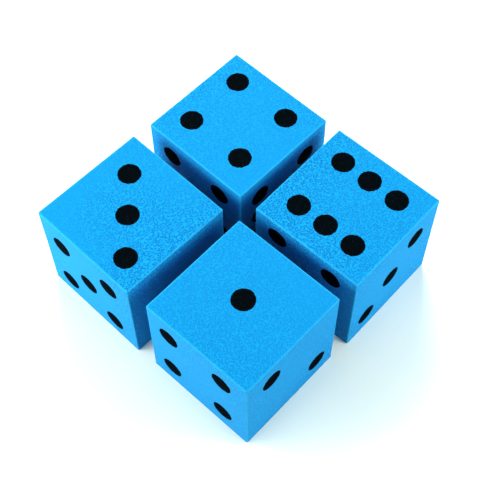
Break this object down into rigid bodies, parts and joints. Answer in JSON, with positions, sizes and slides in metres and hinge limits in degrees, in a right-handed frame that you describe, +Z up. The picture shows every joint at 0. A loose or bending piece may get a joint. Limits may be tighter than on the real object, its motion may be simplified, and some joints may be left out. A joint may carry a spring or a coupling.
{
  "type": "foam dice set",
  "caption": "Set of soft blue foam cube dice with flat round black printed pips, lying close together with a different number up on each.",
  "frame": {"origin": "on the floor, under the middle of the set's bounding box", "axes": "+Z up, +X towards the right die, +Y towards the back die; the front die's corner points to -Y"},
  "size_m": [0.153, 0.151, 0.05],
  "materials": {
    "blue_foam": "matte",
    "black_ink": "matte"
  },
  "bodies": {
    "back_die": {"back_die_foam": "blue_foam", "back_die_one_pip": "black_ink", "back_die_two_pips": "black_ink", "back_die_three_pips": "black_ink", "back_die_four_pips": "black_ink", "back_die_five_pips": "black_ink", "back_die_six_pips": "black_ink"},
    "front_die": {"front_die_foam": "blue_foam", "front_die_one_pip": "black_ink", "front_die_two_pips": "black_ink", "front_die_three_pips": "black_ink", "front_die_four_pips": "black_ink", "front_die_five_pips": "black_ink", "front_die_six_pips": "black_ink"},
    "left_die": {"left_die_foam": "blue_foam", "left_die_one_pip": "black_ink", "left_die_two_pips": "black_ink", "left_die_three_pips": "black_ink", "left_die_four_pips": "black_ink", "left_die_five_pips": "black_ink", "left_die_six_pips": "black_ink"},
    "right_die": {"right_die_foam": "blue_foam", "right_die_one_pip": "black_ink", "right_die_two_pips": "black_ink", "right_die_three_pips": "black_ink", "right_die_four_pips": "black_ink", "right_die_five_pips": "black_ink", "right_die_six_pips": "black_ink"}
  },
  "joints": [
    {"name": "front_die_tumble", "type": "hinge", "parent": "back_die", "child": "front_die", "pos_m": [-0.01788, -0.05808, 0], "axis": [0.7071, -0.7071, 0], "range_deg": [0, 90]},
    {"name": "left_die_tumble", "type": "hinge", "parent": "back_die", "child": "left_die", "pos_m": [-0.0595, -0.01669, 0], "axis": [0.6896, -0.7242, 0], "range_deg": [0, 90]},
    {"name": "right_die_tumble", "type": "hinge", "parent": "back_die", "child": "right_die", "pos_m": [0.05928, -0.01748, 0], "axis": [0.699, 0.7151, 0], "range_deg": [0, 90]}
  ]
}
